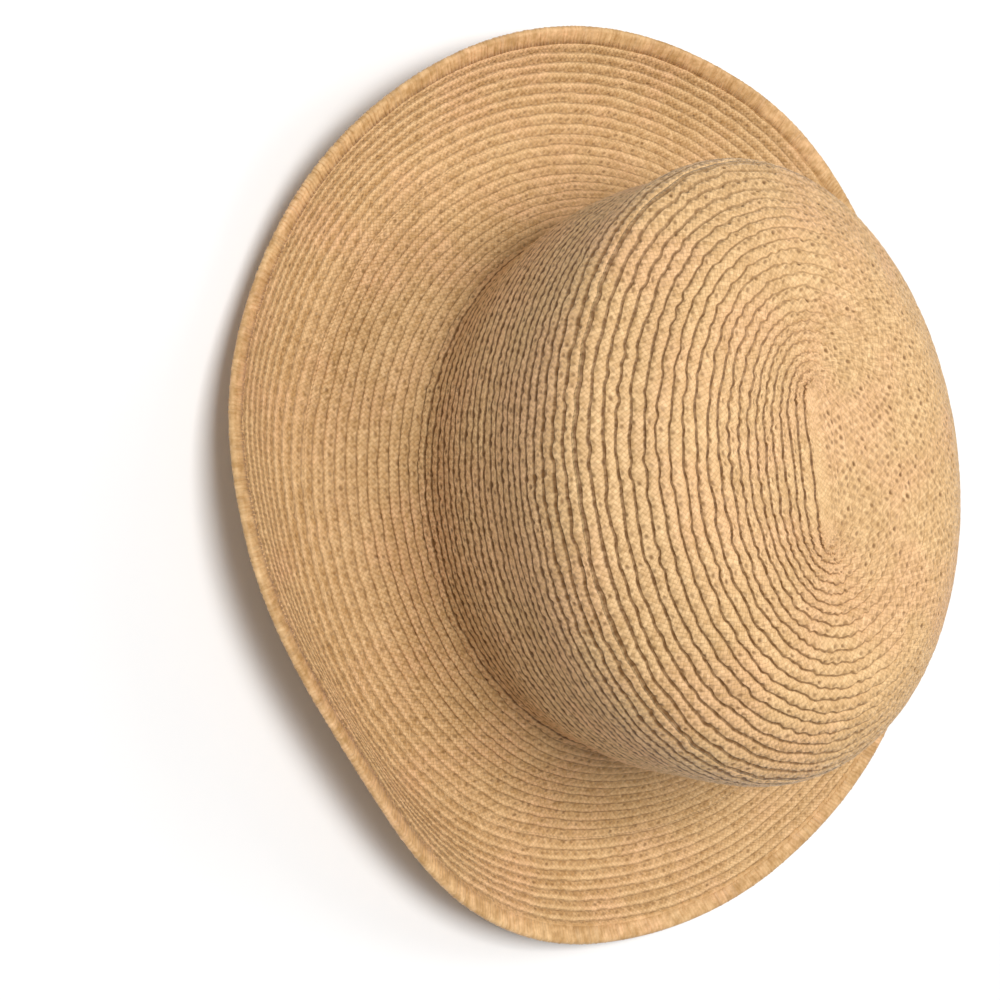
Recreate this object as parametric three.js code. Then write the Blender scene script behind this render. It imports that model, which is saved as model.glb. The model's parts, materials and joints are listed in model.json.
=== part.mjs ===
// A round-crowned sun hat of sewn straw braid, with a wide wavy brim that turns up near its rim.
// Millimetres, +Z up, front at -Y. The origin is on the floor, under the middle of the hat's box.
import * as THREE from 'three';

// Driving dimensions. A row is one turn of the braid, counted from the crown's tip
const BRAID_PITCH = 4.1;
const LOW_PITCH_SHARE = 0.93;
const TOP_ROWS = 22;
const LOW_ROWS = 40;
const TONGUE_HALF = 17;
const TONGUE_ROWS = 8;
const TONGUE_SHARPNESS = 6;
const WALL = 2;
const EDGE_WALL = 2.6;
const SEAM_GAP = 0.3;

// The rows where the pieces start and end
const TIP_ROW = 0.7;
const FOLD_ROW = 45.4;
const EDGE_ROW = 65.2;
const RIM_ROW = 67;

// The hat leans this much, in degrees, until it stands on the three lowest places of its brim
const SETTLE_X = 1.34;
const SETTLE_Y = -2.67;

// How finely the shell is faceted
const DIRECTIONS = 60;
const CROWN_STEPS = 22;
const BRIM_STEPS = 10;
const EDGE_STEPS = 1;
const MERIDIAN_STEP = 0.25;

// The crown's slope below level, in degrees. oval adds slope at the sides and takes it off at front
// and back, lean_x adds it towards +X and lean_y towards +Y
const CROWN_SECTIONS = [
  { row: 0, slope: -3, oval: 0, lean_x: 0, lean_y: 0 },
  { row: 6, slope: -4.5, oval: -4.5, lean_x: 0, lean_y: 0 },
  { row: 12, slope: 8, oval: 1.5, lean_x: 0, lean_y: 0 },
  { row: 17, slope: 36, oval: 3, lean_x: 0, lean_y: 0 },
  { row: 21, slope: 38.5, oval: -1.5, lean_x: -4.5, lean_y: 6 },
  { row: 25, slope: 85.5, oval: -7, lean_x: -2.5, lean_y: -6 },
  { row: 30, slope: 90.5, oval: 0.5, lean_x: 7, lean_y: 4 },
  { row: 36, slope: 89.5, oval: -5, lean_x: 7.5, lean_y: -0.5 },
  { row: 43, slope: 95.5, oval: -9.5, lean_x: 7, lean_y: 1 },
];

// The brim's slope below level, in degrees, on five rows. Direction 0 is +X and 90 is +Y
const BRIM_ROWS = { fold: 46, inner: 50, valley: 55, rise: 61, rim: 67 };
const BRIM_FOLDS = [
  { direction: 0, fold: 66, inner: 50, valley: 12, rise: -38, rim: -31 },
  { direction: 30, fold: 68, inner: 53, valley: 12, rise: -56, rim: -31 },
  { direction: 60, fold: 55, inner: 49, valley: 19, rise: -38, rim: -16 },
  { direction: 90, fold: 60, inner: 44, valley: 29, rise: -15, rim: -1 },
  { direction: 120, fold: 52, inner: 34, valley: 24, rise: -2, rim: 2 },
  { direction: 150, fold: 38, inner: 20, valley: 14, rise: 8, rim: 2 },
  { direction: 180, fold: 36, inner: 24, valley: 16, rise: 8, rim: 0 },
  { direction: 210, fold: 30, inner: 26, valley: 12, rise: -4, rim: -14 },
  { direction: 240, fold: 39, inner: 31, valley: 5, rise: -27, rim: -52 },
  { direction: 270, fold: 48, inner: 30, valley: -1, rise: -25, rim: -50 },
  { direction: 300, fold: 55, inner: 33, valley: 14, rise: -29, rim: -44 },
  { direction: 330, fold: 56, inner: 44, valley: 47, rise: -24, rim: -38 },
];

const radians = THREE.MathUtils.degToRad;
const ringNames = Object.keys(BRIM_ROWS);
const knotRows = [...CROWN_SECTIONS.map((section) => section.row), ...Object.values(BRIM_ROWS)];

// A smooth curve through the stations, whose slope at each comes from its neighbours
function smoothAt(stations, values, at) {
  const last = stations.length - 1;
  const place = THREE.MathUtils.clamp(at, stations[0], stations[last]);
  const found = stations.findIndex((station) => station > place);
  const low = found < 0 ? last - 1 : found - 1;
  const tangent = (k) => {
    const before = Math.max(k - 1, 0);
    const after = Math.min(k + 1, last);
    return (values[after] - values[before]) / (stations[after] - stations[before]);
  };
  const span = stations[low + 1] - stations[low];
  const t = (place - stations[low]) / span;
  const eased = t * t * (3 - 2 * t);
  const bend = span * t * (1 - t) * ((1 - t) * tangent(low) - t * tangent(low + 1));
  return values[low] * (1 - eased) + values[low + 1] * eased + bend;
}

function crownSlope(section, direction) {
  const angle = radians(direction);
  const lean = section.lean_x * Math.cos(angle) + section.lean_y * Math.sin(angle);
  return section.slope + section.oval * Math.cos(2 * angle) + lean;
}

// The table of folds repeats once round on each side, so the curve closes on itself
function brimSlope(ring, direction) {
  const turns = [-360, 0, 360];
  const stations = turns.flatMap((turn) => BRIM_FOLDS.map((fold) => fold.direction + turn));
  const values = turns.flatMap(() => BRIM_FOLDS.map((fold) => fold[ring]));
  return smoothAt(stations, values, direction);
}

function pitchAt(row) {
  const low = THREE.MathUtils.clamp((row - TOP_ROWS) / (LOW_ROWS - TOP_ROWS), 0, 1);
  return BRAID_PITCH * (1 + low * (LOW_PITCH_SHARE - 1));
}

// How far out and how far down the shell's outer face has come at each step of rows
function makeMeridian(direction) {
  const slopes = [
    ...CROWN_SECTIONS.map((section) => crownSlope(section, direction)),
    ...ringNames.map((ring) => brimSlope(ring, direction)),
  ];
  const out = [0];
  const down = [0];
  const steps = Math.round((RIM_ROW + 1) / MERIDIAN_STEP);
  for (let k = 0; k < steps; k += 1) {
    const middle = (k + 0.5) * MERIDIAN_STEP;
    const slope = radians(smoothAt(knotRows, slopes, middle));
    const length = MERIDIAN_STEP * pitchAt(middle);
    out.push(out[k] + Math.cos(slope) * length);
    down.push(down[k] + Math.sin(slope) * length);
  }
  return { out, down };
}

const meridians = new Map();
function meridianAt(direction) {
  if (!meridians.has(direction)) {
    meridians.set(direction, makeMeridian(direction));
  }
  return meridians.get(direction);
}

// The rows grow round a straight tongue of braid, which soon eases into an oval
function surfacePoint(direction, row) {
  const { out, down } = meridianAt(direction);
  const step = Math.floor(row / MERIDIAN_STEP);
  const share = row / MERIDIAN_STEP - step;
  const radius = THREE.MathUtils.lerp(out[step], out[step + 1], share);
  const drop = THREE.MathUtils.lerp(down[step], down[step + 1], share);
  const angle = radians(direction);
  const straight = Math.max(1 - row / TONGUE_ROWS, 0);
  const squared = Math.tanh(TONGUE_SHARPNESS * Math.sin(angle)) / Math.tanh(TONGUE_SHARPNESS);
  const stretch = TONGUE_HALF * THREE.MathUtils.lerp(Math.sin(angle), squared, straight);
  return new THREE.Vector3(radius * Math.cos(angle), radius * Math.sin(angle) + stretch, -drop);
}

// The direction that the outer face looks in
function surfaceNormal(direction, row) {
  const reach = MERIDIAN_STEP;
  const along = surfacePoint(direction, row + reach).sub(surfacePoint(direction, row - reach));
  const across = surfacePoint(direction + 1, row).sub(surfacePoint(direction - 1, row));
  return along.cross(across).normalize();
}

function ringPoints(row, lift) {
  const points = [];
  for (let k = 0; k < DIRECTIONS; k += 1) {
    const direction = (k * 360) / DIRECTIONS;
    const point = surfacePoint(direction, row);
    points.push(point.addScaledVector(surfaceNormal(direction, row), lift));
  }
  return points;
}

// One closed wall between two rows. The outer face is lifted, the inner face lies a wall below it,
// and a wall that starts at the tip is closed there by two flat tongues in place of an end
function makeShell({ firstRow, lastRow, steps, lift, wall, hasTip }) {
  const positions = [];
  const indices = [];
  const ringAt = (side, step) => (side * (steps + 1) + step) * DIRECTIONS;
  for (const depth of [lift, lift - wall]) {
    for (let step = 0; step <= steps; step += 1) {
      const row = THREE.MathUtils.lerp(firstRow, lastRow, step / steps);
      const ring = ringPoints(row, depth);
      const level = hasTip && step === 0 ? ring[0].z : null;
      ring.forEach((point) => positions.push(point.x, point.y, level ?? point.z));
    }
  }
  const quad = (a, b, c, d) => indices.push(a, b, c, a, c, d);
  const strip = (fromRing, toRing) => {
    for (let k = 0; k < DIRECTIONS; k += 1) {
      const next = (k + 1) % DIRECTIONS;
      quad(fromRing + k, toRing + k, toRing + next, fromRing + next);
    }
  };
  for (let step = 0; step < steps; step += 1) {
    strip(ringAt(0, step), ringAt(0, step + 1));
    strip(ringAt(1, step + 1), ringAt(1, step));
  }
  strip(ringAt(0, steps), ringAt(1, steps));
  if (hasTip) {
    closeTongue(ringAt(0, 0), indices, false);
    closeTongue(ringAt(1, 0), indices, true);
  } else {
    strip(ringAt(1, 0), ringAt(0, 0));
  }
  const geometry = new THREE.BufferGeometry();
  geometry.setAttribute('position', new THREE.Float32BufferAttribute(positions, 3));
  geometry.setIndex(indices);
  geometry.computeVertexNormals();
  return geometry;
}

// Fills a tongue-shaped ring with strips that run straight across it
function closeTongue(start, indices, facesDown) {
  const quarter = DIRECTIONS / 4;
  for (let k = -quarter; k < quarter; k += 1) {
    const corners = [k, k + 1, 2 * quarter - k - 1, 2 * quarter - k];
    const [a, b, c, d] = corners.map((corner) => start + ((corner + DIRECTIONS) % DIRECTIONS));
    const triangles = [];
    if (b !== c) {
      triangles.push([a, b, c]);
    }
    if (a !== d) {
      triangles.push([a, c, d]);
    }
    triangles.forEach((triangle) => {
      indices.push(...(facesDown ? triangle.reverse() : triangle));
    });
  }
}

function straw(name, color) {
  return new THREE.MeshStandardMaterial({ name, color, roughness: 0.75, metalness: 0 });
}

const hat = new THREE.Group();
function addPiece(name, geometry, material) {
  const mesh = new THREE.Mesh(geometry, material);
  mesh.name = name;
  hat.add(mesh);
}

const seamRows = SEAM_GAP / (BRAID_PITCH * LOW_PITCH_SHARE);
const edgeLift = (EDGE_WALL - WALL) / 2;

// The domed crown, open below
addPiece('crown', makeShell({
  firstRow: TIP_ROW,
  lastRow: FOLD_ROW - seamRows,
  steps: CROWN_STEPS,
  lift: 0,
  wall: WALL,
  hasTip: true,
}), straw('crown straw', '#e6c896'));

// The brim, sewn on at the fold
addPiece('brim', makeShell({
  firstRow: FOLD_ROW,
  lastRow: EDGE_ROW - seamRows,
  steps: BRIM_STEPS,
  lift: 0,
  wall: WALL,
  hasTip: false,
}), straw('brim straw', '#d7af78'));

// The wider and thicker braid round the rim
addPiece('brim_edge', makeShell({
  firstRow: EDGE_ROW,
  lastRow: RIM_ROW,
  steps: EDGE_STEPS,
  lift: edgeLift,
  wall: EDGE_WALL,
  hasTip: false,
}), straw('edge straw', '#d2a670'));

// Stands the hat on the floor, over the origin
hat.rotation.set(radians(SETTLE_X), radians(SETTLE_Y), 0);
hat.updateMatrixWorld(true);
const box = new THREE.Box3().setFromObject(hat, true);
const middle = box.getCenter(new THREE.Vector3());
hat.position.set(-middle.x, -middle.y, -box.min.z);
hat.updateMatrixWorld(true);

export default hat;
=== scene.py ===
import json
import math

import bpy
import numpy as np
from mathutils import Matrix, Vector


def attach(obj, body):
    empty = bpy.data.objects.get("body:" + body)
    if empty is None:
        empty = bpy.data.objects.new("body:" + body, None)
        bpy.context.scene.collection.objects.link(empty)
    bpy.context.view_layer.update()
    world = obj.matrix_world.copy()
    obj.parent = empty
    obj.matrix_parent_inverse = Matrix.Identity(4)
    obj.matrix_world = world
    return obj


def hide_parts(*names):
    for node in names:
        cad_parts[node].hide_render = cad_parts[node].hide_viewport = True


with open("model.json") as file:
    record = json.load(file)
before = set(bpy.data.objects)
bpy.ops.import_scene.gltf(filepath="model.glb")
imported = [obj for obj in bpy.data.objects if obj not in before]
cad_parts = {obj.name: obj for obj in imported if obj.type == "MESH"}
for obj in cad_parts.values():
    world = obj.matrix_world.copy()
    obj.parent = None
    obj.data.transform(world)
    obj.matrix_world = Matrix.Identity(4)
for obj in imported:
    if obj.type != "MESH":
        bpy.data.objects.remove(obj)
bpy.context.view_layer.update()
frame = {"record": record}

# The hat's body is one long flat plait of straw about 4 mm wide. It starts as a straight tongue in
# the middle of the tip and is sewn to itself round and round, out over the crown and the brim. A
# block and the wearer's hands gave the rows the slopes below, where places are counted in rows
BRAID_PITCH = 0.0041
LOW_PITCH_SHARE = 0.93
TOP_ROWS = 22
LOW_ROWS = 40
TONGUE_HALF = 0.017
TONGUE_EXTRA = 0.008
TONGUE_ROWS = 8
TONGUE_SHARPNESS = 6
WALL = 0.002
TIP_ROW = 0.7
EDGE_ROW = 65.2
RIM_ROW = 67
MERIDIAN_STEP = 0.25

# Degrees below level. oval adds slope at the sides and takes it off at front and back
CROWN_SECTIONS = [
    {"row": 0, "slope": -3, "oval": 0, "lean_x": 0, "lean_y": 0},
    {"row": 6, "slope": -4.5, "oval": -4.5, "lean_x": 0, "lean_y": 0},
    {"row": 12, "slope": 8, "oval": 1.5, "lean_x": 0, "lean_y": 0},
    {"row": 17, "slope": 36, "oval": 3, "lean_x": 0, "lean_y": 0},
    {"row": 21, "slope": 38.5, "oval": -1.5, "lean_x": -4.5, "lean_y": 6},
    {"row": 25, "slope": 85.5, "oval": -7, "lean_x": -2.5, "lean_y": -6},
    {"row": 30, "slope": 90.5, "oval": 0.5, "lean_x": 7, "lean_y": 4},
    {"row": 36, "slope": 89.5, "oval": -5, "lean_x": 7.5, "lean_y": -0.5},
    {"row": 43, "slope": 95.5, "oval": -9.5, "lean_x": 7, "lean_y": 1},
]
BRIM_ROWS = {"fold": 46, "inner": 50, "valley": 55, "rise": 61, "rim": 67}
BRIM_FOLDS = [
    {"direction": 0, "fold": 66, "inner": 50, "valley": 12, "rise": -38, "rim": -31},
    {"direction": 30, "fold": 68, "inner": 53, "valley": 12, "rise": -56, "rim": -31},
    {"direction": 60, "fold": 55, "inner": 49, "valley": 19, "rise": -38, "rim": -16},
    {"direction": 90, "fold": 60, "inner": 44, "valley": 29, "rise": -15, "rim": -1},
    {"direction": 120, "fold": 52, "inner": 34, "valley": 24, "rise": -2, "rim": 2},
    {"direction": 150, "fold": 38, "inner": 20, "valley": 14, "rise": 8, "rim": 2},
    {"direction": 180, "fold": 36, "inner": 24, "valley": 16, "rise": 8, "rim": 0},
    {"direction": 210, "fold": 30, "inner": 26, "valley": 12, "rise": -4, "rim": -14},
    {"direction": 240, "fold": 39, "inner": 31, "valley": 5, "rise": -27, "rim": -52},
    {"direction": 270, "fold": 48, "inner": 30, "valley": -1, "rise": -25, "rim": -50},
    {"direction": 300, "fold": 55, "inner": 33, "valley": 14, "rise": -29, "rim": -44},
    {"direction": 330, "fold": 56, "inner": 44, "valley": 47, "rise": -24, "rim": -38},
]


def smooth_curve(stations, values, at):
    """A smooth curve through the stations, whose slope at each comes from its neighbours."""
    stations = np.asarray(stations, float)
    values = np.asarray(values, float).reshape(len(stations), -1)
    last = len(stations) - 1
    before = np.maximum(np.arange(last + 1) - 1, 0)
    after = np.minimum(np.arange(last + 1) + 1, last)
    tangents = (values[after] - values[before]) / (stations[after] - stations[before])[:, None]
    place = np.clip(at, stations[0], stations[last])
    low = np.clip(np.searchsorted(stations, place, side="right") - 1, 0, last - 1)
    span = (stations[low + 1] - stations[low])[:, None]
    t = (place - stations[low])[:, None] / span
    eased = t * t * (3 - 2 * t)
    bend = span * t * (1 - t) * ((1 - t) * tangents[low] - t * tangents[low + 1])
    return values[low] * (1 - eased) + values[low + 1] * eased + bend


def crown_slope(section, directions):
    """A section's slope in each direction round the crown."""
    angle = np.radians(directions)
    lean = section["lean_x"] * np.cos(angle) + section["lean_y"] * np.sin(angle)
    return section["slope"] + section["oval"] * np.cos(2 * angle) + lean


def brim_slope(ring, directions):
    """The table of folds is repeated once on each side, so the brim closes on itself."""
    stations = [fold["direction"] + turn for turn in (-360, 0, 360) for fold in BRIM_FOLDS]
    values = [fold[ring] for _ in range(3) for fold in BRIM_FOLDS]
    return smooth_curve(stations, values, directions)[:, 0]


def pitch_at(rows):
    """The width of a row, which is a little less down the crown and on the brim."""
    low = np.clip((rows - TOP_ROWS) / (LOW_ROWS - TOP_ROWS), 0, 1)
    return BRAID_PITCH * (1 + low * (LOW_PITCH_SHARE - 1))


def shell_points(directions, rows):
    """Places on the shell's outer face, one column of rows for each direction."""
    knots = [crown_slope(section, directions) for section in CROWN_SECTIONS]
    knots += [brim_slope(ring, directions) for ring in BRIM_ROWS]
    knot_rows = [section["row"] for section in CROWN_SECTIONS] + list(BRIM_ROWS.values())
    steps = round((RIM_ROW + 1) / MERIDIAN_STEP)
    middles = (np.arange(steps) + 0.5) * MERIDIAN_STEP
    slopes = np.radians(smooth_curve(knot_rows, knots, middles))
    length = (MERIDIAN_STEP * pitch_at(middles))[:, None]
    start = np.zeros((1, len(directions)))
    out = np.vstack([start, np.cumsum(np.cos(slopes) * length, axis=0)])
    down = np.vstack([start, np.cumsum(np.sin(slopes) * length, axis=0)])
    step = np.floor(rows / MERIDIAN_STEP).astype(int)
    share = rows / MERIDIAN_STEP - step
    column = np.arange(len(directions))[None, :]
    radius = out[step, column] * (1 - share) + out[step + 1, column] * share
    drop = down[step, column] * (1 - share) + down[step + 1, column] * share
    sine = np.sin(np.radians(directions))
    straight = np.maximum(1 - rows / TONGUE_ROWS, 0)
    squared = np.tanh(TONGUE_SHARPNESS * sine) / math.tanh(TONGUE_SHARPNESS)
    half = TONGUE_HALF + TONGUE_EXTRA * straight
    stretch = half * (sine + (squared - sine) * straight)
    return np.stack([radius * np.cos(np.radians(directions)), radius * sine + stretch, -drop], -1)


def shell_normals(directions, rows):
    """The shell's outward directions, from places close by."""
    reach = MERIDIAN_STEP
    rows = np.maximum(rows, 2 * reach)
    along = shell_points(directions, rows + reach) - shell_points(directions, rows - reach)
    across = shell_points(directions + 1, rows) - shell_points(directions - 1, rows)
    normals = np.cross(along, across)
    return normals / np.linalg.norm(normals, axis=-1, keepdims=True)


# On the floor the hat settles at a slight lean. The mount is the inner face of the tongue, so the
# whole shell hangs from it at that lean
SETTLE_X = math.radians(1.34)
SETTLE_Y = math.radians(-2.67)

mount = np.array(frame["record"]["mounts"][0]["pos_m"])
lean = np.array(Matrix.Rotation(SETTLE_X, 3, "X") @ Matrix.Rotation(SETTLE_Y, 3, "Y"))
tip_direction = np.array([0.0])
tip_row = np.array([[TIP_ROW]])
tip_inside = shell_points(tip_direction, tip_row) - WALL * shell_normals(tip_direction, tip_row)
hang = mount - lean @ np.array([0, 0, tip_inside[0, 0, 2]])

# Each turn of the braid lies one row further out than the last, so its seam is a spiral. The plait
# was sewn by eye: the seam wanders a little, and the rows' widths with it
SEAM_START = 0.124
TURNS = 70
WANDER = [{"knots": 50, "reach": 0.09}, {"knots": 150, "reach": 0.14}]
STEADIER = {"turned": [43, 48], "share": [1, 0.5]}
FIRST_SEAMS = {"turned": [1.0, 1.5, 2.0, 4.5, 5.5], "shift": [0, -0.38, -0.2, -0.2, 0]}
SEW_SEED = 7
LENGTH_DIRECTIONS = 720

sewing = np.random.default_rng(SEW_SEED)
wander_knots = [sewing.uniform(-1, 1, TURNS * layer["knots"] + 2) for layer in WANDER]


def seam_wander(turned):
    """How far the seam strays from its spiral, in rows, after so many turns."""
    total = np.zeros_like(turned)
    for layer, knots in zip(WANDER, wander_knots):
        place = (turned + 1) * layer["knots"]
        low = np.floor(place).astype(int)
        t = place - low
        eased = t * t * (3 - 2 * t)
        total += layer["reach"] * (knots[low] * (1 - eased) + knots[low + 1] * eased)
    total *= np.interp(turned, STEADIER["turned"], STEADIER["share"])
    return total + np.interp(turned, FIRST_SEAMS["turned"], FIRST_SEAMS["shift"])


def spiral_rows(turn, across, turned):
    """The row where a place across a turn of braid lies. turned goes from 0 to 1 round the hat."""
    upper = seam_wander(turn + turned)
    lower = seam_wander(turn + 1 + turned)
    return turn + across - SEAM_START + turned + upper * (1 - across) + lower * across


def braid_lengths():
    """How much braid is used up at each direction of each turn, from the tongue on."""
    turned = np.linspace(0, 1, LENGTH_DIRECTIONS + 1)
    turns = np.arange(-1, TURNS - 1)[:, None]
    rows = np.clip(turns + 0.5 - SEAM_START + turned, 0, RIM_ROW)
    points = shell_points(turned * 360 - 180, rows)
    steps = np.linalg.norm(np.diff(points, axis=1), axis=-1)
    used = np.concatenate([[0], np.cumsum(steps)])
    starts = np.arange(len(turns)) * LENGTH_DIRECTIONS
    return turned, used[starts[:, None] + np.arange(LENGTH_DIRECTIONS + 1)]


length_turned, length_used = braid_lengths()

# The rows as walls of sewn braid. The tongue's first half turn is not sewn to anything yet. From the
# shoulder down the stitches pull the seams tighter, and the painted shade in them reaches further
# across each row. On the tip's ends and its -X side the rows lie flatter on each other, and there the
# painted seam shade is weaker and the painted pit shade stronger, for the light that falls on that
# side. Mesh lines run across a row at the places in ACROSS
ACROSS = [0, 0.08, 0.32, 0.6, 0.8, 0.9]
INNER_RELIEF = 0.35
TONGUE_FREE = 0.68
TONGUE_FADE = 0.05
SEAM_OPEN = {"turned": [15, 24], "share": [1, 0.46]}
SEAM_SIDES = {
    "direction": [-180, -125, -90, -45, 0, 45, 90, 135, 180],
    "share": [0.3, 0.35, 0.55, 0.9, 1, 1, 0.8, 0.45, 0.3],
    "turned": [22, 29],
    "part": [1, 0],
}
BAKE_MARGIN = 0.004


def new_mesh(name, positions, triangles, quads, corner_maps):
    """A mesh from arrays, smooth but for its end faces, the triangles, with its UV maps."""
    mesh = bpy.data.meshes.new(name)
    mesh.vertices.add(len(positions))
    mesh.vertices.foreach_set("co", positions.astype(np.float32).ravel())
    corners = np.concatenate([quads.ravel(), triangles.ravel()])
    mesh.loops.add(len(corners))
    mesh.loops.foreach_set("vertex_index", corners.astype(np.int32))
    quad_starts = np.arange(len(quads)) * 4
    starts = np.concatenate([quad_starts, len(quads) * 4 + np.arange(len(triangles)) * 3])
    mesh.polygons.add(len(starts))
    mesh.polygons.foreach_set("loop_start", starts.astype(np.int32))
    mesh.polygons.foreach_set("use_smooth", np.arange(len(starts)) < len(quads))
    for map_name, values in corner_maps.items():
        layer = mesh.uv_layers.new(name=map_name)
        layer.uv.foreach_set("vector", values.astype(np.float32).ravel())
    mesh.update(calc_edges=True)
    mesh.validate()
    return mesh


def ribbon(outer, inner):
    """Triangles between a fine edge of the outer face and the inner face's edge, half as fine."""
    a, b, c = outer[:-1:2], outer[1::2], outer[2::2]
    d, e = inner[:-1], inner[1:]
    parts = [np.stack(corners, -1) for corners in ((a, d, b), (b, d, e), (b, e, c))]
    return np.concatenate(parts)


def sheet_faces(ids, across, used, turned, bake_low, faces_in):
    """A face's quads, and for their corners the place on the braid and on the flat pattern."""
    quads = np.stack([ids[:-1, :-1], ids[1:, :-1], ids[1:, 1:], ids[:-1, 1:]], -1)
    lower = np.where(across[1:] == 0, 1, across[1:])
    here = used[:-1, :-1]
    there = used[:-1, 1:]
    shape = here.shape
    top = np.broadcast_to(across[:-1, None], shape)
    bottom = np.broadcast_to(lower[:, None], shape)
    along = np.stack([here, here, there, there], -1)
    over = np.stack([top, bottom, bottom, top], -1)
    line = np.linspace(bake_low + BAKE_MARGIN, bake_low + 0.5 - BAKE_MARGIN, len(ids))
    round_share = BAKE_MARGIN + turned * (1 - 2 * BAKE_MARGIN)
    bake_round = np.stack(
        [round_share[:-1], round_share[:-1], round_share[1:], round_share[1:]], -1)
    bake_line = np.stack([line[:-1], line[1:], line[1:], line[:-1]], -1)
    bake = np.stack([
        np.broadcast_to(bake_round[None, :, :], shape + (4,)),
        np.broadcast_to(bake_line[:, None, :], shape + (4,)),
    ], -1)
    braid = np.stack([along, over], -1)
    if faces_in:
        quads, braid, bake = quads[..., ::-1], braid[..., ::-1, :], bake[..., ::-1, :]
    return quads.reshape(-1, 4), {"braid": braid, "OFBake": bake}


def sewn_values(turn, across, turned):
    """What the relief and the straw read at each place: how it is sewn, how open and how deep the
    seam is, and how strong the painted shade in it is.
    """
    nearer = np.where(across < 0.5, turn, turn + 1)[:, None] + turned[None, :]
    side_share = np.interp(turned * 360 - 180, SEAM_SIDES["direction"], SEAM_SIDES["share"]) - 1
    return {
        "across": np.broadcast_to(across[:, None], nearer.shape),
        "sewn": np.clip((nearer - TONGUE_FREE) / TONGUE_FADE, 0, 1),
        "open": np.interp(nearer, SEAM_OPEN["turned"], SEAM_OPEN["share"]),
        "deep": 1 + side_share[None, :] * np.interp(nearer, SEAM_SIDES["turned"], SEAM_SIDES["part"]),
    }


def braid_shell(name, first, last, directions, last_row):
    """A closed wall of spiral rows. The inner face has every second line and direction."""
    count = len(ACROSS)
    line = np.arange(first["turn"] * count + first["line"], last["turn"] * count + last["line"] + 1)
    turn = (line // count).astype(float)
    across = np.array(ACROSS)[line % count]
    turned = np.linspace(0, 1, directions + 1)
    rows = spiral_rows(turn[:, None], across[:, None], turned[None, :])
    rows = np.clip(rows, 0, last_row)
    angles = turned * 360 - 180
    surface = shell_points(angles, rows)
    normals = shell_normals(angles, rows)
    inner_surface = (surface - WALL * normals)[::2, ::2]
    positions = np.concatenate([surface.reshape(-1, 3), inner_surface.reshape(-1, 3)])
    positions = positions @ lean.T + hang
    outward = normals @ lean.T
    outward = np.concatenate([outward.reshape(-1, 3), -outward[::2, ::2].reshape(-1, 3)])
    used = np.stack([np.interp(turned, length_turned, length_used[int(t) + 1]) for t in turn])

    outer_ids = np.arange(rows.size).reshape(rows.shape)
    inner_shape = rows[::2, ::2].shape
    inner_ids = rows.size + np.arange(math.prod(inner_shape)).reshape(inner_shape)
    outer_quads, outer_maps = sheet_faces(outer_ids, across, used, turned, 0, False)
    inner_quads, inner_maps = sheet_faces(
        inner_ids, across[::2], used[::2, ::2], turned[::2], 0.5, True)
    ends = [
        ribbon(outer_ids[-1], inner_ids[-1]),
        ribbon(outer_ids[0], inner_ids[0])[:, ::-1],
        ribbon(outer_ids[-count - 1:, -1], inner_ids[-count // 2 - 1:, -1])[:, ::-1],
        ribbon(outer_ids[:count + 1, 0], inner_ids[:count // 2 + 1, 0]),
    ]
    triangles = np.concatenate(ends)
    quads = np.concatenate([outer_quads, inner_quads])
    maps = {}
    for map_name in ("braid", "OFBake"):
        blank = np.zeros((triangles.size, 2))
        parts = [outer_maps[map_name].reshape(-1, 2), inner_maps[map_name].reshape(-1, 2), blank]
        maps[map_name] = np.concatenate(parts)
    mesh = new_mesh(name, positions, triangles, quads, maps)

    values = {"along": used} | sewn_values(turn, across, turned)
    both = {key: [value.ravel(), value[::2, ::2].ravel()] for key, value in values.items()}
    both["relief"] = [np.ones(rows.size), np.full(math.prod(inner_shape), INNER_RELIEF)]
    for value_name, parts in both.items():
        layer = mesh.attributes.new(value_name, "FLOAT", "POINT")
        layer.data.foreach_set("value", np.concatenate(parts).astype(np.float32))
    layer = mesh.attributes.new("outward", "FLOAT_VECTOR", "POINT")
    layer.data.foreach_set("vector", outward.astype(np.float32).ravel())
    piece = bpy.data.objects.new(name, mesh)
    bpy.context.scene.collection.objects.link(piece)
    return piece


# The rows' relief, made on the smooth walls. Every row is a flat plait whose outer edge stands
# proud over the next row, with small pits between the loops at its edge, and its strands cross
# over and under each other in lumps
ROW_PROFILE = [(0, 0), (0.08, 0.36), (0.32, 0.66), (0.6, 0.9), (0.8, 1), (0.9, 0.84), (1, 0)]
RELIEF = {
    "Row height": 0.00025,
    "Row step": 0.0013,
    "Pit depth": 0.0005,
    "Pit place": 0.76,
    "Strand spacing": 0.0036,
    "Strand slant": 1.15,
    "Strand height": 0.00006,
    "Unevenness": 0.0003,
    "Unevenness per metre": 90.0,
    "Seed": 3.0,
    "Weld distance": 0.000002,
}
UNEVEN_DETAIL = 2.0
PITS = {
    "spacing": 0.0033,
    "half_length": 0.4,
    "half_width": 0.25,
    "stray": 0.34,
    "slant": 0.3,
    "flat_part": 0.2,
    "least": 0.5,
}


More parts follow.
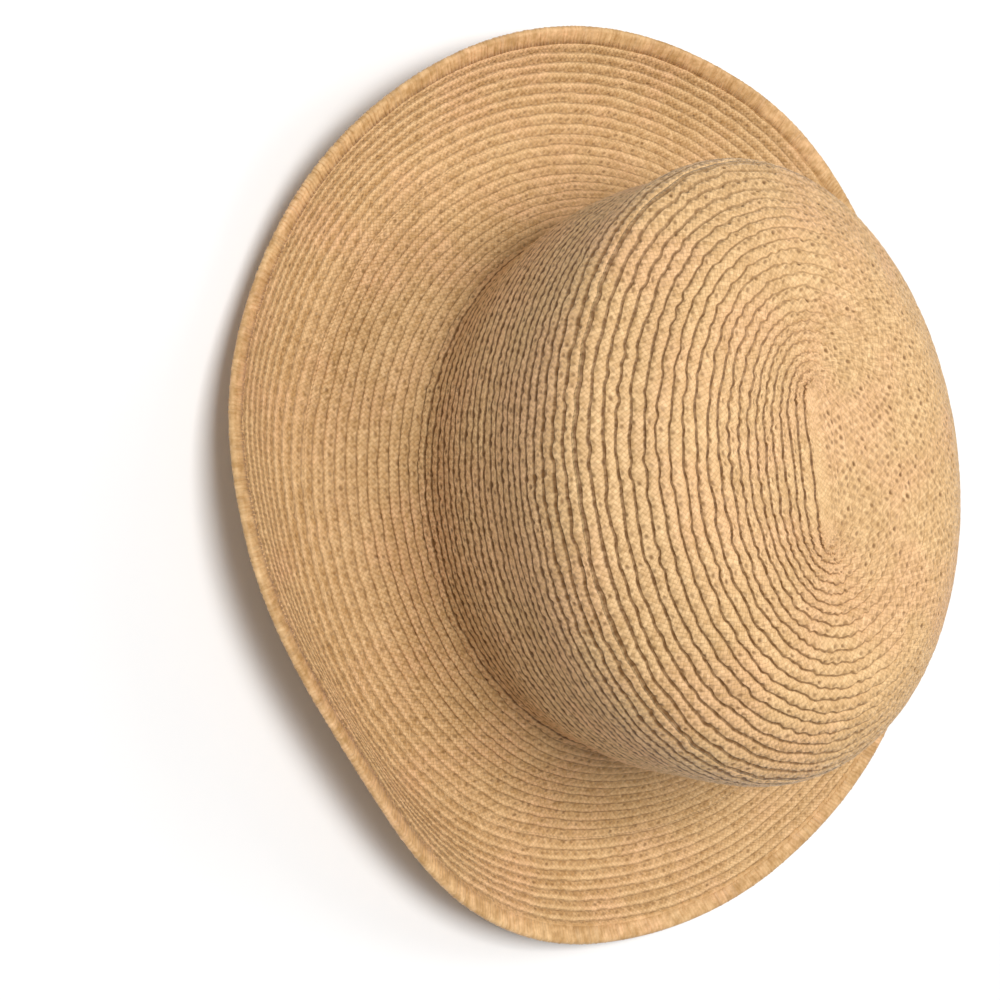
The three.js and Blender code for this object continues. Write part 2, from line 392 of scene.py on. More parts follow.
class Maths:
    """Writes sums as nodes in a tree: each call adds one node and gives back its result."""

    def __init__(self, tree):
        self.tree = tree

    def put(self, socket, value):
        if isinstance(value, bpy.types.NodeSocket):
            self.tree.links.new(value, socket)
        else:
            socket.default_value = value

    def __call__(self, operation, *values, clamp=False):
        node = self.tree.nodes.new("ShaderNodeMath")
        node.operation = operation
        node.use_clamp = clamp
        for socket, value in zip(node.inputs, values):
            self.put(socket, value)
        return node.outputs[0]

    def ramp(self, value, low, high):
        """From 0 at low to 1 at high, smoothly."""
        node = self.tree.nodes.new("ShaderNodeMapRange")
        node.interpolation_type = "SMOOTHSTEP"
        self.put(node.inputs["Value"], value)
        self.put(node.inputs["From Min"], low)
        self.put(node.inputs["From Max"], high)
        return node.outputs["Result"]

    def own_number(self, place):
        """A number from 0 to 1 that belongs to a place."""
        node = self.tree.nodes.new("ShaderNodeTexWhiteNoise")
        node.noise_dimensions = "1D"
        self.put(node.inputs["W"], place)
        return node.outputs["Value"]

    def noise(self, place, detail):
        """Soft noise along a line, one wave or so for each step of 1."""
        node = self.tree.nodes.new("ShaderNodeTexNoise")
        node.noise_dimensions = "1D"
        node.inputs["Scale"].default_value = 1.0
        node.inputs["Detail"].default_value = detail
        self.put(node.inputs["W"], place)
        return node.outputs["Fac"]


def plait_pits(maths, along, across, middle):
    """How deep a place lies in the pits between a row's edge loops, from 0 to 1."""
    place = maths("DIVIDE", along, PITS["spacing"])
    cell = maths("FLOOR", place)
    first = maths("SUBTRACT", maths.own_number(cell), 0.5)
    second = maths("SUBTRACT", maths.own_number(maths("ADD", cell, 0.5)), 0.5)
    x = maths("SUBTRACT", maths("FRACT", place), 0.5)
    x = maths("DIVIDE", maths("MULTIPLY_ADD", first, -PITS["stray"], x), PITS["half_length"])
    y = maths("MULTIPLY_ADD", second, -PITS["stray"], maths("SUBTRACT", across, middle))
    y = maths("DIVIDE", y, PITS["half_width"])
    x = maths("MULTIPLY_ADD", y, PITS["slant"], x)
    away = maths("SQRT", maths("ADD", maths("MULTIPLY", x, x), maths("MULTIPLY", y, y)))
    depth = maths("SUBTRACT", 1.0, maths.ramp(away, PITS["flat_part"], 1.0))
    own_depth = maths("ADD", maths("ABSOLUTE", maths("ADD", first, second)), PITS["least"])
    return maths("MULTIPLY", depth, own_depth)


def tree_input(tree, name, kind, value):
    """Adds an input by which a tree can be set."""
    socket = tree.interface.new_socket(name, in_out="INPUT", socket_type=kind)
    if value is not None:
        socket.default_value = value


def finish_tree(tree, geometry, material):
    """Ends a tree: its instances made real, and its material set."""
    real = tree.nodes.new("GeometryNodeRealizeInstances")
    tree.links.new(geometry, real.inputs["Geometry"])
    finish = tree.nodes.new("GeometryNodeSetMaterial")
    tree.links.new(real.outputs["Geometry"], finish.inputs["Geometry"])
    tree.links.new(material, finish.inputs["Material"])
    tree.links.new(finish.outputs["Geometry"], tree.nodes.new("NodeGroupOutput").inputs["Geometry"])


def relief_tree():
    """Moves the points of a smooth wall in or out, so that its rows stand up as sewn plait."""
    tree = bpy.data.node_groups.new("sewn rows", "GeometryNodeTree")
    tree.interface.new_socket("Geometry", in_out="INPUT", socket_type="NodeSocketGeometry")
    for name, value in RELIEF.items():
        tree_input(tree, name, "NodeSocketFloat", value)
    tree_input(tree, "Straw", "NodeSocketMaterial", None)
    tree.interface.new_socket("Geometry", in_out="OUTPUT", socket_type="NodeSocketGeometry")
    nodes = tree.nodes
    maths = Maths(tree)
    given = nodes.new("NodeGroupInput").outputs
    read = {}
    for name in ("along", "across", "sewn", "open", "deep", "relief", "outward"):
        node = nodes.new("GeometryNodeInputNamedAttribute")
        node.data_type = "FLOAT_VECTOR" if name == "outward" else "FLOAT"
        node.inputs["Name"].default_value = name
        read[name] = node.outputs["Attribute"]

    profile = nodes.new("ShaderNodeFloatCurve")
    points = profile.mapping.curves[0].points
    for across, height in ROW_PROFILE[1:-1]:
        points.new(across, height)
    points[-1].location = ROW_PROFILE[-1]
    profile.mapping.update()
    maths.put(profile.inputs["Value"], read["across"])
    sunk = maths("MULTIPLY", maths("SUBTRACT", 1.0, profile.outputs["Value"]), read["sewn"])
    sunk = maths("MULTIPLY", maths("MULTIPLY", sunk, read["open"]), read["deep"])
    down = maths("MULTIPLY", given["Row step"], -1.0)
    step = maths("MULTIPLY_ADD", sunk, down, given["Row height"])
    pits = plait_pits(maths, read["along"], read["across"], given["Pit place"])
    pits = maths("MULTIPLY", maths("MULTIPLY", pits, read["sewn"]), given["Pit depth"])

    strand = maths("DIVIDE", read["along"], given["Strand spacing"])
    slant = maths("MULTIPLY", read["across"], given["Strand slant"])
    lumps = []
    for sign in ("ADD", "SUBTRACT"):
        turns = maths("MULTIPLY", maths(sign, strand, slant), math.tau)
        lumps.append(maths("SINE", turns))
    lump = maths("MULTIPLY", maths("MAXIMUM", lumps[0], lumps[1]), given["Strand height"])
    place = maths("MULTIPLY_ADD", read["along"], given["Unevenness per metre"], given["Seed"])
    stray = maths("SUBTRACT", maths.noise(place, UNEVEN_DETAIL), 0.5)
    uneven = maths("MULTIPLY", stray, given["Unevenness"])

    height = maths("SUBTRACT", maths("ADD", maths("ADD", step, lump), uneven), pits)
    height = maths("MULTIPLY", height, read["relief"])
    merge = nodes.new("GeometryNodeMergeByDistance")
    tree.links.new(given["Geometry"], merge.inputs["Geometry"])
    tree.links.new(given["Weld distance"], merge.inputs["Distance"])
    scale = nodes.new("ShaderNodeVectorMath")
    scale.operation = "SCALE"
    tree.links.new(read["outward"], scale.inputs[0])
    tree.links.new(height, scale.inputs["Scale"])
    move = nodes.new("GeometryNodeSetPosition")
    tree.links.new(merge.outputs["Geometry"], move.inputs["Geometry"])
    tree.links.new(scale.outputs["Vector"], move.inputs["Offset"])
    finish_tree(tree, move.outputs["Geometry"], given["Straw"])
    return tree


def worked(piece, tree, settings):
    """Runs a tree on a piece and leaves a plain mesh in its place."""
    modifier = piece.modifiers.new(tree.name, "NODES")
    modifier.node_group = tree
    for socket in tree.interface.items_tree:
        if socket.in_out == "INPUT" and socket.name in settings:
            modifier[socket.identifier] = settings[socket.name]
    evaluated = piece.evaluated_get(bpy.context.evaluated_depsgraph_get())
    mesh = bpy.data.meshes.new_from_object(evaluated)
    piece.modifiers.remove(modifier)
    piece.data = mesh
    mesh.name = piece.name


sewn_rows = relief_tree()

# The straw itself: split strands, plaited flat. They are pale and silky, no two the same tone. Brown
# shade is painted in the seams, in the small pits between the loops at a row's edges, where the
# strands meet, and over the inner part of each row
STRAW_PALE = (0.865, 0.57, 0.285, 1)
STRAW_PINK = (0.885, 0.545, 0.285, 1)
STRAW_DEEP = (0.51, 0.29, 0.11, 1)
# The colour of all the painted shade on the plait, and of the darker strands on the edge
STRAW_SHADE_AND_DARK = (0.17, 0.074, 0.017, 1)
STRAW_ROUGHNESS = 0.55
STRAW_SPECULAR = 0.35
STRAW_SHEEN = 0.05
BUMP_STRENGTH = 0.7
PINK = {"scale": 35.0, "detail": 2.0, "low": 0.4, "high": 0.65}
STRAND = {
    "spacing": 0.0018,
    "slant": 2.3,
    "height": 0.25,
    "other": 0.37,
    "roundness": 3.0,
    "hole_start": 0.7,
    "hole_shade": 0.25,
}
# Painted seam shade: the uneven gaps along the braid where it reaches further, and the drop at a
# row's outer edge
GAPS = {"per_metre": 260.0, "detail": 3.0, "shift": 4.0, "low": 0.4, "high": 0.62, "shade": 0.3}
EDGE_DROP_SHADE = {"low": 0.9, "high": 0.925}
# Painted pit shade on the flat side: a second row of pits, and how much darker all the pits are there
FLAT_SIDE_PIT_SHADE = {"place": 0.28, "share": 1.1, "gain": 0.25}
PIT_BUMP = 0.2
PLAIT_TONE = {"own": 0.4, "along": 0.35, "per_metre": 28.0, "detail": 2.0, "shift": 9.0, "off": 0.7}
PLAIT_NOISES = [
    {"scale": 18.0, "detail": 4.0, "share": 0.3},
    {"scale": 280.0, "detail": 2.0, "share": 0.8},
    {"scale": 900.0, "detail": 3.0, "share": 0.8},
]
# Painted shade over the inner part of each row: where it starts to fade and where it is gone
INNER_SHADE_PART = {"low": 0.45, "high": 0.7}


def texture_noise(tree, place, scale, detail):
    """Soft noise in space."""
    node = tree.nodes.new("ShaderNodeTexNoise")
    node.inputs["Scale"].default_value = scale
    node.inputs["Detail"].default_value = detail
    tree.links.new(place, node.inputs["Vector"])
    return node.outputs["Fac"]


def mottled(tree, maths, place, tone, noises):
    """A tone with noises added by their shares, and the last of these noises, the fibres."""
    for noise in noises:
        seen = texture_noise(tree, place, noise["scale"], noise["detail"])
        tone = maths("ADD", tone, maths("MULTIPLY", seen, noise["share"]))
    return tone, seen


def finish_straw(tree, maths, place, tone, dark, high):
    """Colour from deep to pale by tone, the dark colour where dark (painted shade on the plait,
    darker strands on the edge), and relief from high in millimetres.
    """

    def mix(amount, first, second):
        node = tree.nodes.new("ShaderNodeMix")
        node.data_type = "RGBA"
        maths.put(node.inputs[0], amount)
        maths.put(node.inputs[6], first)
        maths.put(node.inputs[7], second)
        return node.outputs[2]

    pink = maths.ramp(
        texture_noise(tree, place, PINK["scale"], PINK["detail"]), PINK["low"], PINK["high"])
    color = mix(dark, mix(tone, STRAW_DEEP, mix(pink, STRAW_PALE, STRAW_PINK)), STRAW_SHADE_AND_DARK)
    bump = tree.nodes.new("ShaderNodeBump")
    bump.inputs["Strength"].default_value = BUMP_STRENGTH
    bump.inputs["Distance"].default_value = 0.001
    tree.links.new(high, bump.inputs["Height"])
    shader = tree.nodes.new("ShaderNodeBsdfPrincipled")
    shader.inputs["Roughness"].default_value = STRAW_ROUGHNESS
    shader.inputs["Specular IOR Level"].default_value = STRAW_SPECULAR
    shader.inputs["Sheen Weight"].default_value = STRAW_SHEEN
    tree.links.new(color, shader.inputs["Base Color"])
    tree.links.new(bump.outputs["Normal"], shader.inputs["Normal"])
    output = tree.nodes.new("ShaderNodeOutputMaterial")
    tree.links.new(shader.outputs["BSDF"], output.inputs["Surface"])


def plait_material(name, looks):
    """Flat plait: strands cross over and under at a slant, read from the map along the braid, with
    painted shade in its hollows.
    """
    material = bpy.data.materials.new(name)
    material.use_nodes = True
    tree = material.node_tree
    tree.nodes.clear()
    nodes = tree.nodes
    maths = Maths(tree)
    place = nodes.new("ShaderNodeUVMap")
    place.uv_map = "braid"
    split = nodes.new("ShaderNodeSeparateXYZ")
    tree.links.new(place.outputs["UV"], split.inputs["Vector"])
    along = split.outputs["X"]
    across = split.outputs["Y"]

    def held(attribute_name):
        node = nodes.new("ShaderNodeAttribute")
        node.attribute_name = attribute_name
        return node.outputs["Fac"]

    def noise_along(settings):
        """Noise that changes along the braid only."""
        wave = maths("MULTIPLY_ADD", along, settings["per_metre"], settings["shift"])
        return maths.noise(wave, settings["detail"])

    sewn = held("sewn")
    # deep scales the painted seam shade down on the tip's ends and the -X side, and flat_and_lit
    # scales the painted pit shade up there, for the light that falls on that side
    deep = held("deep")
    flat_and_lit = maths("SUBTRACT", 1.0, deep)
    shut = maths("SUBTRACT", 1.0, held("open"))
    strand = maths("DIVIDE", along, STRAND["spacing"])
    slant = maths("MULTIPLY", across, STRAND["slant"])
    leaning = [maths(sign, strand, slant) for sign in ("ADD", "SUBTRACT")]
    whole = [maths("FLOOR", value) for value in leaning]
    over = maths("MULTIPLY", maths("FRACT", maths("MULTIPLY", maths("ADD", *whole), 0.5)), 2.0)
    under = maths("SUBTRACT", 1.0, over)

    def woven(first, second):
        """The value of whichever strand lies on top."""
        return maths("ADD", maths("MULTIPLY", first, under), maths("MULTIPLY", second, over))

    share = woven(maths("FRACT", leaning[0]), maths("FRACT", leaning[1]))
    own = maths.own_number(woven(whole[0], maths("ADD", whole[1], STRAND["other"])))
    bow = maths("ABSOLUTE", maths("MULTIPLY_ADD", share, 2.0, -1.0))
    ridge = maths("SUBTRACT", 1.0, maths("POWER", bow, STRAND["roundness"]))
    # Painted shade in the holes where the strands meet, at each strand's edge
    strand_edge_shade = maths("MULTIPLY", maths.ramp(bow, STRAND["hole_start"], 1.0), STRAND["hole_shade"])

    # Painted shade in the pits between the loops. The pits near a row's edge are sunk in the relief
    # too; a second row of pits on the flat side is only painted and bumped, and the painted pit shade
    # is stronger there
    near_pits = plait_pits(maths, along, across, looks["pit_place"])
    far_along = maths("ADD", along, PITS["spacing"] / 2)
    painted_far_pits = maths("MULTIPLY", plait_pits(maths, far_along, across, FLAT_SIDE_PIT_SHADE["place"]), flat_and_lit)
    pits = maths("MAXIMUM", near_pits, maths("MULTIPLY", painted_far_pits, FLAT_SIDE_PIT_SHADE["share"]))
    pits = maths("MULTIPLY", pits, maths("MULTIPLY_ADD", flat_and_lit, FLAT_SIDE_PIT_SHADE["gain"], 1.0))
    pits = maths("MULTIPLY", pits, sewn)

    # Painted shade in each seam: under the edge of the row before, and on the drop at a row's outer
    # edge. It reaches further where the seams are shut and in uneven gaps along the braid
    gaps = maths.ramp(noise_along(GAPS), GAPS["low"], GAPS["high"])
    full_reach = maths("MULTIPLY_ADD", shut, looks["shut_shade_reach"], looks["seam_shade_reach"])
    near = maths("MULTIPLY", full_reach, 0.5)
    reach = maths("MULTIPLY_ADD", gaps, near, full_reach)
    under_edge_shade = maths("SUBTRACT", 1.0, maths.ramp(across, near, reach))
    edge_drop_shade = maths.ramp(across, EDGE_DROP_SHADE["low"], EDGE_DROP_SHADE["high"])
    painted_seam = maths("MULTIPLY", maths("MAXIMUM", under_edge_shade, edge_drop_shade), sewn)
    painted_seam = maths("MULTIPLY", painted_seam, deep)
    painted_seam = maths("MULTIPLY", painted_seam, maths("MULTIPLY_ADD", gaps, GAPS["shade"], looks["seam_shade"]))

    object_place = nodes.new("ShaderNodeTexCoord").outputs["Object"]
    tone = maths("MULTIPLY", own, PLAIT_TONE["own"])
    tone = maths("ADD", tone, maths("MULTIPLY", noise_along(PLAIT_TONE), PLAIT_TONE["along"]))
    tone, fibres = mottled(tree, maths, object_place, tone, PLAIT_NOISES)
    # Painted shade over the inner part of each row, which lies lower, under the edge of the row
    # before
    outer_part = maths.ramp(across, INNER_SHADE_PART["low"], INNER_SHADE_PART["high"])
    inner_shade_part = maths("MULTIPLY", maths("SUBTRACT", 1.0, outer_part), sewn)
    tone = maths("MULTIPLY_ADD", inner_shade_part, -looks["inner_shade"], tone)
    tone = maths("SUBTRACT", tone, PLAIT_TONE["off"], clamp=True)
    shaded_pits = maths("MULTIPLY", pits, looks["pit_shade"])
    # All the painted shade on the plait together: in the pits, the seams and where the strands meet
    dark = maths("MAXIMUM", maths("MAXIMUM", shaded_pits, painted_seam), strand_edge_shade)
    high = maths("MULTIPLY", ridge, STRAND["height"])
    high = maths("ADD", high, maths("MULTIPLY", fibres, STRAND["height"]))
    high = maths("SUBTRACT", high, maths("MULTIPLY", pits, PIT_BUMP))
    finish_straw(tree, maths, object_place, tone, dark, high)
    return material


# The crown's tip: the first rows, which lie nearly flat round the tongue and then roll down over the
# shoulder. They are the start of the one plait, each row sewn over the edge of the next
CROWN_PLAIT = {
    "pit_place": 0.76,
    "pit_shade": 0.55,
    "seam_shade": 0.72,
    "seam_shade_reach": 0.09,
    "shut_shade_reach": 0.36,
    "inner_shade": 0.03,
}
TIP_START = {"turn": -1, "line": 0}
TIP_END = {"turn": 22, "line": 2}
TIP_DIRECTIONS = 500

crown_straw = plait_material("crown straw", CROWN_PLAIT)
crown_tip = braid_shell("crown_tip", TIP_START, TIP_END, TIP_DIRECTIONS, RIM_ROW)
worked(crown_tip, sewn_rows, {"Straw": crown_straw})
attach(crown_tip, "root")
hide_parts("crown")

# The crown's side: the rows that stand round the head, sewn on in the same way. They are made as an
# upper and a lower part, which meet in the middle of a row, where the surface is smooth
SIDE_MIDDLE = {"turn": 34, "line": 2}
SIDE_END = {"turn": 45, "line": 0}
SIDE_DIRECTIONS = 760
SIDES = {"crown_side_upper": (TIP_END, SIDE_MIDDLE), "crown_side_lower": (SIDE_MIDDLE, SIDE_END)}

for side_name, side_ends in SIDES.items():
    side = braid_shell(side_name, *side_ends, SIDE_DIRECTIONS, RIM_ROW)
    worked(side, sewn_rows, {"Straw": crown_straw})
    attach(side, "root")
    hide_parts("crown")

# The brim: the same braid sewn on, outwards now, in loose waves. Its two parts meet in the middle of
# a row too, and the last rows run out under the edge
BRIM_PLAIT = {
    "pit_place": 0.3,
    "pit_shade": 0.45,
    "seam_shade": 0.25,
    "seam_shade_reach": 0.13,
    "shut_shade_reach": 0.0,
    "inner_shade": 0.34,
}
BRIM_MIDDLE = {"turn": 55, "line": 4}
BRIM_END = {"turn": 66, "line": 0}
BRIMS = {
    "brim_inner": {"ends": (SIDE_END, BRIM_MIDDLE), "directions": 900},
    "brim_outer": {"ends": (BRIM_MIDDLE, BRIM_END), "directions": 1000},
}

brim_straw = plait_material("brim straw", BRIM_PLAIT)
for brim_name, size in BRIMS.items():
    brim = braid_shell(brim_name, *size["ends"], size["directions"], EDGE_ROW)
    worked(brim, sewn_rows, {"Straw": brim_straw, "Pit place": BRIM_PLAIT["pit_place"]})
    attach(brim, "root")
    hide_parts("brim")

# The edge: a wider plait folded over the rim of the brim and sewn through it. It is made as a flat
# ring with round rims, and its strands lie across it on top, round the rim and back underneath
EDGE_THICKNESS = 0.0024
EDGE_START_ROW = 65.05
EDGE_END_ROW = 66.45
EDGE_LEVEL_ROW = 66.0
EDGE_DIRECTIONS = 480
EDGE_MEASURE_DIRECTIONS = 2880
EDGE_ROUND_STEPS = 5
EDGE_STRAND_SPACING = 0.0015
EDGE_STRAND_START = 0.0002
EDGE_STRAND_HALF = EDGE_STRAND_SPACING * 0.56
EDGE_STRAND_SECTION = [(-1, -0.0003), (-0.6, 0.0001), (0, 0.00015), (0.6, 0.0001), (1, -0.0003)]
EDGE_LAY = {"Slant": math.radians(10), "Slant spread": math.radians(7), "Size spread": 0.2}
EDGE_LAY_SEED = 11
EDGE_STRAND_HEIGHTS = (0.92, 1.12)
EDGE_TONE = {"own": 0.3, "off": 1.25, "dark_start": 0.7, "dark": 0.25, "height": 0.08}
EDGE_NOISES = [
    {"scale": 30.0, "detail": 4.0, "share": 0.5},
    {"scale": 280.0, "detail": 2.0, "share": 1.8},
    {"scale": 900.0, "detail": 3.0, "share": 0.8},
]


def edge_profile(length, half):
    """A flat loop with round ends, as places out along the band and up from its middle."""
    turned = np.linspace(-math.pi / 2, math.pi / 2, EDGE_ROUND_STEPS)
    outer_end = np.stack([length + half * np.cos(turned), half * np.sin(turned)], -1)
    inner_end = np.stack([-half * np.cos(turned), -half * np.sin(turned)], -1)
    middle = length / 2
    return np.concatenate([outer_end, [[middle, half]], inner_end, [[middle, -half]]])


def edge_axes(directions):
    """Where the band starts at each direction, its way out, its way up and its length."""
    start = shell_points(directions, np.full((1, len(directions)), EDGE_START_ROW))[0]
    end = shell_points(directions, np.full((1, len(directions)), EDGE_END_ROW))[0]
    up = shell_normals(directions, np.full((1, len(directions)), EDGE_LEVEL_ROW))[0]
    way = end - start
    length = np.linalg.norm(way, axis=-1, keepdims=True)
    way = way / length
    up = up - way * (up * way).sum(axis=-1, keepdims=True)
    up /= np.linalg.norm(up, axis=-1, keepdims=True)
    start = (start - up * WALL / 2) @ lean.T + hang
    return start, way @ lean.T, up @ lean.T, float(length.mean())


def edge_band():
    """The ring's places and faces, and how wide it is without its round rims."""
    directions = np.arange(EDGE_DIRECTIONS) * 360 / EDGE_DIRECTIONS
    start, way, up, length = edge_axes(directions)
    profile = edge_profile(length, EDGE_THICKNESS / 2)
    positions = start[:, None] + way[:, None] * profile[:, :1] + up[:, None] * profile[:, 1:]
    ids = np.arange(positions.shape[0] * len(profile)).reshape(-1, len(profile))
    beside = np.roll(ids, -1, axis=0)
    above = np.roll(ids, -1, axis=1)
    opposite = np.roll(beside, -1, axis=1)
    quads = np.stack([ids, beside, opposite, above], -1).reshape(-1, 4)
    return positions.reshape(-1, 3), quads, length


def strand_bar(length):
    """One strand: a low arched strip bent round the rim, as long as the band on both faces."""
    half = EDGE_THICKNESS / 2
    middle = length * 0.5
    stations = [(EDGE_STRAND_START, half, 0.0, 1.0), (middle, half, 0.0, 1.0)]
    for bend in np.linspace(math.pi / 2, -math.pi / 2, EDGE_ROUND_STEPS):
        out, up = math.cos(bend), math.sin(bend)
        stations.append((length + half * out, half * up, out, up))
    stations += [(middle, -half, 0.0, -1.0), (EDGE_STRAND_START, -half, 0.0, -1.0)]
    vertices = []
    for x, z, out, up in stations:
        for side, raised in EDGE_STRAND_SECTION:
            vertices.append((x + out * raised, EDGE_STRAND_HALF * side, z + up * raised))
    count = len(EDGE_STRAND_SECTION)
    faces = []
    for station in range(len(stations) - 1):
        for side in range(count):
            a = station * count + side
            b = station * count + (side + 1) % count
            faces.append((a, a + count, b + count, b))
    faces.append(tuple(range(count)))
    last = (len(stations) - 1) * count
    faces.append(tuple(range(last, last + count))[::-1])
    mesh = bpy.data.meshes.new("edge strand")
    mesh.from_pydata(vertices, [], faces)
    mesh.polygons.foreach_set("use_smooth", np.arange(len(faces)) < len(faces) - 2)
    return bpy.data.objects.new("edge strand", mesh)


def laid_strands_tree():
    """Lays a strand at each point of the rim, each a little different in slant, width and tone."""
    tree = bpy.data.node_groups.new("laid strands", "GeometryNodeTree")
    tree.interface.new_socket("Geometry", in_out="INPUT", socket_type="NodeSocketGeometry")
    tree_input(tree, "Strand", "NodeSocketObject", None)
    for name, value in EDGE_LAY.items():
        tree_input(tree, name, "NodeSocketFloat", value)
    tree_input(tree, "Seed", "NodeSocketInt", EDGE_LAY_SEED)
    tree_input(tree, "Straw", "NodeSocketMaterial", None)
    tree.interface.new_socket("Geometry", in_out="OUTPUT", socket_type="NodeSocketGeometry")
    nodes = tree.nodes
    maths = Maths(tree)
    given = nodes.new("NodeGroupInput").outputs
    axes = nodes.new("FunctionNodeAxesToRotation")
    axes.primary_axis = "Z"
    axes.secondary_axis = "X"
    for name, socket in (("up", axes.inputs[0]), ("way", axes.inputs[1])):
        read = nodes.new("GeometryNodeInputNamedAttribute")
        read.data_type = "FLOAT_VECTOR"
        read.inputs["Name"].default_value = name
        tree.links.new(read.outputs["Attribute"], socket)

    def drawn(low, high, shift):
        """A number between low and high for each strand."""
        node = nodes.new("FunctionNodeRandomValue")
        node.data_type = "FLOAT"
        maths.put(node.inputs[2], low)
        maths.put(node.inputs[3], high)
        tree.links.new(maths("ADD", given["Seed"], shift), node.inputs["Seed"])
        return node.outputs[1]

    strand = nodes.new("GeometryNodeObjectInfo")
    tree.links.new(given["Strand"], strand.inputs["Object"])
    lay = nodes.new("GeometryNodeInstanceOnPoints")
    tree.links.new(given["Geometry"], lay.inputs["Points"])
    tree.links.new(strand.outputs["Geometry"], lay.inputs["Instance"])
    tree.links.new(axes.outputs["Rotation"], lay.inputs["Rotation"])
    size = nodes.new("ShaderNodeCombineXYZ")
    size.inputs["X"].default_value = 1.0
    spread = given["Size spread"]
    wide = drawn(maths("SUBTRACT", 1.0, spread), maths("ADD", 1.0, spread), 1)
    tree.links.new(wide, size.inputs["Y"])
    tree.links.new(drawn(*EDGE_STRAND_HEIGHTS, 5), size.inputs["Z"])
    tree.links.new(size.outputs["Vector"], lay.inputs["Scale"])
    turn = nodes.new("GeometryNodeRotateInstances")
    turn.inputs["Local Space"].default_value = True
    angle = nodes.new("ShaderNodeCombineXYZ")
    least = maths("SUBTRACT", given["Slant"], given["Slant spread"])
    most = maths("ADD", given["Slant"], given["Slant spread"])
    tree.links.new(drawn(least, most, 2), angle.inputs["Z"])
    tree.links.new(lay.outputs["Instances"], turn.inputs["Instances"])
    tree.links.new(angle.outputs["Vector"], turn.inputs["Rotation"])
    mark = nodes.new("GeometryNodeStoreNamedAttribute")
    mark.data_type = "FLOAT"
    mark.domain = "INSTANCE"
    mark.inputs["Name"].default_value = "tone"
    tree.links.new(turn.outputs["Instances"], mark.inputs["Geometry"])
    tree.links.new(drawn(0.0, 1.0, 3), mark.inputs["Value"])
    finish_tree(tree, mark.outputs["Geometry"], given["Straw"])
    return tree


def edge_places():
    """Points along the start of the band, one strand's width apart."""
    directions = np.linspace(0, 360, EDGE_MEASURE_DIRECTIONS + 1)
    start = edge_axes(directions)[0]
    run = np.concatenate([[0], np.cumsum(np.linalg.norm(np.diff(start, axis=0), axis=1))])
    count = round(run[-1] / EDGE_STRAND_SPACING)
    even = np.interp(np.arange(count) * run[-1] / count, run, directions)
    start, way, up, _ = edge_axes(even)
    mesh = bpy.data.meshes.new("edge places")
    mesh.from_pydata(start.tolist(), [], [])
    for name, vectors in (("way", way), ("up", up)):
        layer = mesh.attributes.new(name, "FLOAT_VECTOR", "POINT")
        layer.data.foreach_set("vector", vectors.astype(np.float32).ravel())
    return mesh


def strand_material(name):
    """Bare strands: each has a tone of its own, and fine fibres."""
    material = bpy.data.materials.new(name)
    material.use_nodes = True
    tree = material.node_tree
    tree.nodes.clear()
    maths = Maths(tree)
    held = tree.nodes.new("ShaderNodeAttribute")
    held.attribute_name = "tone"
    own = held.outputs["Fac"]
    object_place = tree.nodes.new("ShaderNodeTexCoord").outputs["Object"]
    tone = maths("MULTIPLY", own, EDGE_TONE["own"])
    tone, fibres = mottled(tree, maths, object_place, tone, EDGE_NOISES)
    tone = maths("SUBTRACT", tone, EDGE_TONE["off"], clamp=True)
    dark = maths("MULTIPLY", maths.ramp(own, EDGE_TONE["dark_start"], 1.0), EDGE_TONE["dark"])
    high = maths("MULTIPLY", fibres, EDGE_TONE["height"])
    finish_straw(tree, maths, object_place, tone, dark, high)
    return material


edge_straw = strand_material("edge straw")
edge_positions, edge_quads, edge_length = edge_band()
edge_mesh = new_mesh("brim_edge_core", edge_positions, np.zeros((0, 3), int), edge_quads, {})
edge_mesh.materials.append(edge_straw)
edge_core = bpy.data.objects.new("brim_edge_core", edge_mesh)
edge_strands = bpy.data.objects.new("brim_edge_strands", edge_places())
for piece in (edge_core, edge_strands):
    bpy.context.scene.collection.objects.link(piece)
edge_settings = {"Straw": edge_straw, "Strand": strand_bar(edge_length)}
worked(edge_strands, laid_strands_tree(), edge_settings)
for piece in (edge_core, edge_strands):
    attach(piece, "root")
    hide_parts("brim_edge")

# The stage: a plain pale floor under the hat, one soft lamp over it, a weaker one low behind it, and
# pale light from all round
FLOOR_SIZE = 6
FLOOR_COLOR = (0.9, 0.9, 0.9, 1)
FLOOR_ROUGHNESS = 0.9
LAMPS = [
    {"name": "key", "place": (0.3, -0.08, 1.45), "size": 0.55, "power": 18.5},
    {"name": "back", "place": (-1.0, -0.2, 1.0), "size": 0.6, "power": 5.5},
]
WORLD_COLOR = (1, 1, 1, 1)
WORLD_STRENGTH = 0.26

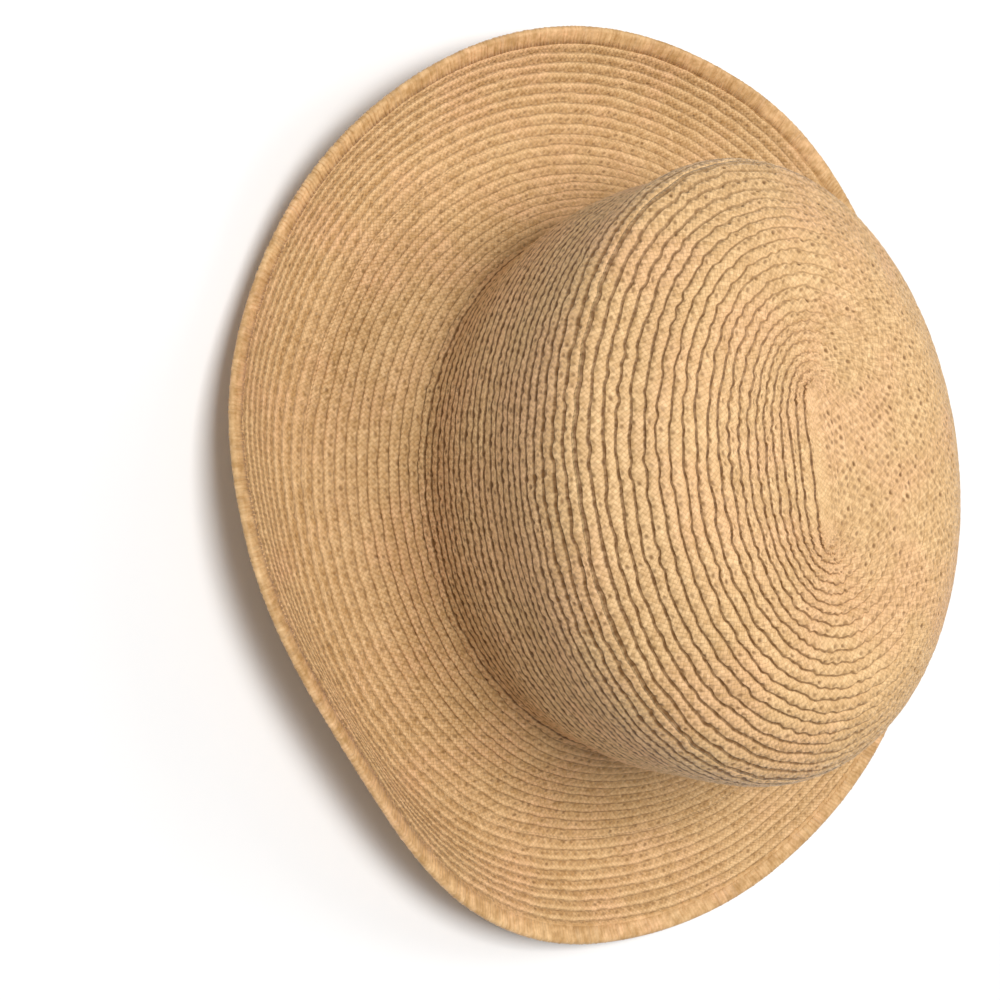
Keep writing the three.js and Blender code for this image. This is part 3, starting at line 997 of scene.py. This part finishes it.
bpy.ops.mesh.primitive_plane_add(size=FLOOR_SIZE)
floor = bpy.context.object
floor.name = "floor"
floor_paint = bpy.data.materials.new("floor paint")
floor_paint.use_nodes = True
floor_shader = floor_paint.node_tree.nodes["Principled BSDF"]
floor_shader.inputs["Base Color"].default_value = FLOOR_COLOR
floor_shader.inputs["Roughness"].default_value = FLOOR_ROUGHNESS
floor.data.materials.append(floor_paint)

world = bpy.data.worlds.new("studio")
world.use_nodes = True
background = world.node_tree.nodes["Background"]
background.inputs["Color"].default_value = WORLD_COLOR
background.inputs["Strength"].default_value = WORLD_STRENGTH
bpy.context.scene.world = world

for lamp in LAMPS:
    light = bpy.data.lights.new(lamp["name"], "AREA")
    light.size = lamp["size"]
    light.energy = lamp["power"]
    holder = bpy.data.objects.new(lamp["name"], light)
    holder.location = lamp["place"]
    holder.rotation_euler = Vector(lamp["place"]).to_track_quat("Z", "Y").to_euler()
    bpy.context.scene.collection.objects.link(holder)

# The camera looks down on the hat from its +X side, close by and with a long lens, and it is turned
# so that the crown points to the right of the picture
CAMERA_PLACE = (0.48501, -0.00321, 0.69098)
CAMERA_YAW = math.radians(89.479)
CAMERA_PITCH = math.radians(57.441)
CAMERA_ROLL = math.radians(5.375)
CAMERA_LENS = 80.12
CAMERA_SENSOR = 36

ahead = -np.array([
    math.sin(CAMERA_YAW) * math.cos(CAMERA_PITCH),
    -math.cos(CAMERA_YAW) * math.cos(CAMERA_PITCH),
    math.sin(CAMERA_PITCH),
])
level = np.cross(ahead, [0, 0, 1])
level /= np.linalg.norm(level)
upright = np.cross(level, ahead)
image_right = upright * math.cos(CAMERA_ROLL) + level * math.sin(CAMERA_ROLL)
image_down = level * math.cos(CAMERA_ROLL) - upright * math.sin(CAMERA_ROLL)
turn = Matrix(np.stack([image_right, -image_down, -ahead], axis=1).tolist())
camera_data = bpy.data.cameras.new("camera")
camera_data.lens = CAMERA_LENS
camera_data.sensor_width = CAMERA_SENSOR
camera = bpy.data.objects.new("camera", camera_data)
camera.matrix_world = Matrix.Translation(CAMERA_PLACE) @ turn.to_4x4()
bpy.context.scene.collection.objects.link(camera)
bpy.context.scene.camera = camera
bpy.context.scene.view_settings.view_transform = "Standard"
